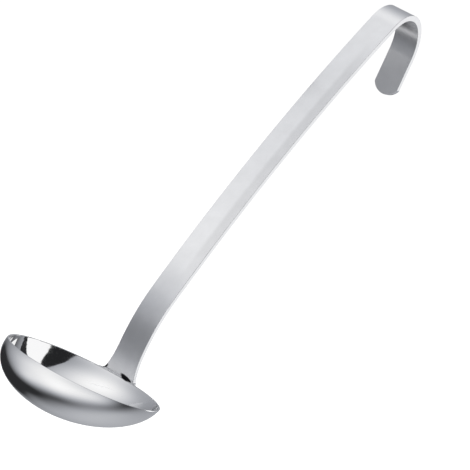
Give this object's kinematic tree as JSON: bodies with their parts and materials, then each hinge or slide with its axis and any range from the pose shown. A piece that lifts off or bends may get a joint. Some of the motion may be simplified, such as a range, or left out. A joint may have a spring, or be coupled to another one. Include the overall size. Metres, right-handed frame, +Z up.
{
  "type": "sauce ladle",
  "caption": "Kitchen ladle for sauces: a shallow polished bowl trimmed at a slant, on a long flat handle that ends in a hook for hanging.",
  "frame": {"origin": "centre of the hook's inner bend, on the middle of the bar's width, where a rail's axis lies when the ladle hangs", "axes": "+Z up, square to the bowl's rim; +Y from the bowl back towards the hook; +X across the bar, to the right of someone who looks along +Y"},
  "size_m": [0.082, 0.2226, 0.2326],
  "materials": {
    "polished_steel": "mirror polished inside, soft polished outside",
    "satin_steel": "satin, with fine grain along the bar and polished edges",
    "weld_steel": "ground and polished weld"
  },
  "bodies": {
    "root": {"bowl": "polished_steel", "handle": "satin_steel", "seam_weld": "weld_steel", "lap_weld": "weld_steel"}
  },
  "joints": []
}
